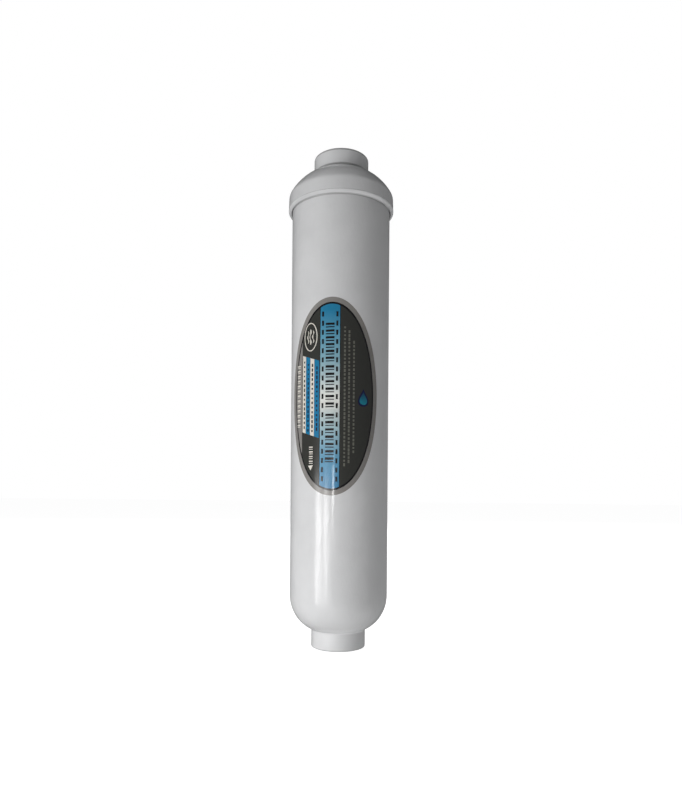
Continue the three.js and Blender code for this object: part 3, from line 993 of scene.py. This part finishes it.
grey_ink = flat_ink("grey_ink", (0.16, 0.16, 0.135))
small_rows = [
    (6.5, 33.3, -32.9, 1.9, 0.9, 1.6, 0.5), (8.65, 31.3, -31.9, 1.85, 0.9, 1.6, 0.5),
    (11.0, 26.3, -26.5, 1.9, 0.9, 1.6, 0.5),
]
mark_rows("label_small_lines", small_rows, 3, grey_ink)
stripe_rows = [(-15.0, 17.5, -14.5, 2.3, 0.8, 1.9, 0.6), (-10.0, 15.5, -16.0, 2.3, 0.8, 1.9, 0.6)]
mark_rows("label_stripe_lines", stripe_rows, 4, black_ink)
navy_ink = flat_ink("navy_ink", (0.006, 0.008, 0.035))
navy_rows = [(-12.5, 16.0, -15.5, 2.3, 0.8, 1.9, 0.6), (-7.4, 14.0, -17.0, 2.3, 0.8, 1.9, 0.6)]
mark_rows("label_blue_stripe_lines", navy_rows, 4, navy_ink)
strip_rows = [(-19.2, 16.0, -13.4, 2.45, 2.4, 0.8, 0.2), (-19.2, 15.1, -14.3, 2.45, 2.4, 0.35, 0.3)]
mark_rows("label_strip_words", strip_rows, 4, white_ink)
flow_rows = [(-10.6, -24.6, -31.5, 2.3, 2.2, 0.7, 0.2), (-10.6, -25.6, -32.5, 2.3, 2.2, 0.35, 0.2)]
mark_rows("label_flow_word", flow_rows, 3, white_ink)

# ---- Label's signs ----
# An arrow shows the way the water goes. Above it an oval badge holds three waves, and a water drop
# stands at the right.
def wave(centre, length, swing, weight, steps=24):
    """A wavy stroke that runs up the label."""
    line = [
        (centre[0] + swing * math.sin(3 * math.pi * i / steps), centre[1] + length * (i / steps - 0.5))
        for i in range(steps + 1)
    ]
    return [(u - weight / 2, v) for u, v in line] + [(u + weight / 2, v) for u, v in reversed(line)]


def drop(centre, radius, rise, steps=40):
    """A water drop: round below and drawn up to a point."""
    outline = []
    for i in range(steps):
        angle = 2 * math.pi * i / steps
        narrow = math.sin(angle / 2) ** 1.6
        outline.append((centre[0] + radius * math.sin(angle) * narrow, centre[1] + rise * math.cos(angle)))
    return outline


badge_centre = (-11.2, 29.5)
badge_half = (3.95, 7.0)
badge_line = 0.5
inner_badge = (badge_half[0] - badge_line, badge_half[1] - badge_line)
print_layer("label_badge", [oval(badge_centre, badge_half)], 3, white_ink)
print_layer("label_badge_field", [oval(badge_centre, inner_badge)], 4, charcoal_ink)
waves = []
for shift in (-1.5, 0, 1.5):
    waves.append(wave((badge_centre[0] + shift, badge_centre[1]), 7.5 - abs(shift), 0.45, 0.38))
print_layer("label_waves", waves, 5, white_ink)
print_layer("label_arrow", [[(-12.2, -33.7), (-10.7, -36.0), (-9.3, -33.4)]], 3, white_ink)

drop_centre = (16.1, -0.4)
deep_blue_ink = flat_ink("deep_blue_ink", (0.004, 0.006, 0.06))
teal_ink = label_ink("teal_ink", [(-4, (0.01, 0.30, 0.42)), (2, (0.006, 0.05, 0.12))])
print_layer("label_drop_edge", [drop(drop_centre, 4.2, 4.3)], 3, deep_blue_ink)
print_layer("label_drop", [drop((drop_centre[0], drop_centre[1] - 0.3), 3.0, 3.1)], 4, teal_ink)

# ---- Studio ----
# A plain white floor and a white surround. Wide lamps stand at the left, right, back and below, and
# small ones in front draw three bright streaks down the lower tube.
floor_mesh = bpy.data.meshes.new("floor")
floor_reach = 4.0
floor_z = cad_box[0].z - 0.0001
floor_mesh.from_pydata(
    [(x * floor_reach, y * floor_reach, floor_z) for x, y in ((-1, -1), (1, -1), (1, 1), (-1, 1))], [],
    [(0, 1, 2, 3)],
)
floor_material, floor_tree, floor_shader, _ = new_material("floor")
feed(floor_tree, floor_shader, {
    "Base Color": (0.5, 0.5, 0.5, 1), "Roughness": 1.0, "Specular IOR Level": 0.0,
    "Emission Color": (1, 1, 1, 1), "Emission Strength": 0.97,
})
floor_mesh.materials.append(floor_material)
floor = bpy.data.objects.new("floor", floor_mesh)
bpy.context.scene.collection.objects.link(floor)
floor.visible_diffuse = False
floor.visible_glossy = False
floor.visible_transmission = False
floor.visible_shadow = False

world = bpy.data.worlds.new("studio")
world.use_nodes = True
bpy.context.scene.world = world
sky = world.node_tree
sky.nodes.clear()
rays = add_node(sky, "ShaderNodeLightPath").outputs
white = add_node(sky, "ShaderNodeBackground", {"Color": (1, 1, 1, 1), "Strength": 1.0})
dim = add_node(sky, "ShaderNodeBackground", {"Color": (0.95, 0.97, 1, 1), "Strength": 0.026})
heading = add_node(sky, "ShaderNodeTexCoord").outputs["Generated"]
rise = add_node(sky, "ShaderNodeSeparateXYZ", {0: heading}).outputs["Z"]
overhead = add_node(
    sky, "ShaderNodeMapRange",
    {"Value": rise, "From Min": 0.2, "From Max": 0.5, "To Min": 0.17, "To Max": 0.03},
)
mirrored = add_node(
    sky, "ShaderNodeBackground", {"Color": (0.97, 0.97, 1, 1), "Strength": overhead.outputs["Result"]}
)
glossy, camera_ray = rays["Is Glossy Ray"], rays["Is Camera Ray"]
lit = add_node(sky, "ShaderNodeMixShader", {0: glossy, 1: dim.outputs[0], 2: mirrored.outputs[0]})
both = add_node(sky, "ShaderNodeMixShader", {0: camera_ray, 1: lit.outputs[0], 2: white.outputs[0]})
add_node(sky, "ShaderNodeOutputWorld", {"Surface": both.outputs[0]})
bpy.context.scene.view_settings.view_transform = "Standard"


filter_middle = 0.115


def soft_light(name, place, size, power, aim=(0, 0, filter_middle), mirrored=True):
    """A rectangular lamp that the camera doesn't see, and that glossy surfaces mirror or don't."""
    data = bpy.data.lights.new(name, "AREA")
    data.shape = "RECTANGLE"
    data.size, data.size_y = size
    data.energy = power
    lamp = bpy.data.objects.new(name, data)
    facing = (Vector(aim) - Vector(place)).to_track_quat("-Z", "Y")
    lamp.matrix_world = Matrix.Translation(place) @ facing.to_matrix().to_4x4()
    lamp.visible_camera = False
    lamp.visible_glossy = mirrored
    bpy.context.scene.collection.objects.link(lamp)


def round_about(turn, rise, reach=1.1):
    """A place reach metres from the filter's middle, turned from the camera's side and raised by degrees."""
    around, up = camera_turn + math.radians(turn), math.radians(rise)
    out = reach * math.cos(up)
    return (out * math.sin(around), -out * math.cos(around), filter_middle + reach * math.sin(up))


soft_light("low_key", (-0.25, -0.46, -0.2), (0.35, 0.2), 1.25, aim=(0, 0, -0.2), mirrored=False)
soft_light("mid_key", (-0.25, -0.46, 0), (0.35, 0.2), 0.62, aim=(0, 0, 0))
soft_light("left_fill", round_about(-60, 20), (0.7, 0.7), 2.5, mirrored=False)
soft_light("right_fill", round_about(97, -40, 0.6), (0.4, 0.4), 1.22, mirrored=False)
soft_light("right_upper_fill", round_about(80, 58, 0.9), (0.6, 0.6), 1.2, mirrored=False)
soft_light("under_fill", round_about(0, -72), (0.7, 0.7), 0.22, mirrored=False)
soft_light("back_upper_fill", round_about(180, 32), (0.9, 0.7), 6.0, mirrored=False)
soft_light("back_lower_fill", round_about(180, -30), (0.9, 0.7), 5.0, mirrored=False)
streak_lamps = [
    ("wide_streak_top", (-0.322, -0.412, 0.04), (0.1, 0.07), 0.14),
    ("wide_streak_middle", (-0.322, -0.412, -0.025), (0.1, 0.06), 0.09),
    ("wide_streak_foot", (-0.318, -0.415, -0.08), (0.1, 0.05), 0.026),
    ("wide_streak_tail", (-0.314, -0.417, -0.12), (0.1, 0.03), 0.01),
    ("narrow_streak_top", (-0.177, -0.494, 0.05), (0.055, 0.06), 0.11),
    ("narrow_streak_foot", (-0.172, -0.495, -0.01), (0.055, 0.06), 0.065),
    ("thin_streak", (-0.036, -0.524, 0.075), (0.022, 0.07), 0.13),
]
for name, place, size, power in streak_lamps:
    soft_light(name, place, size, power, aim=(0, 0, place[2]))
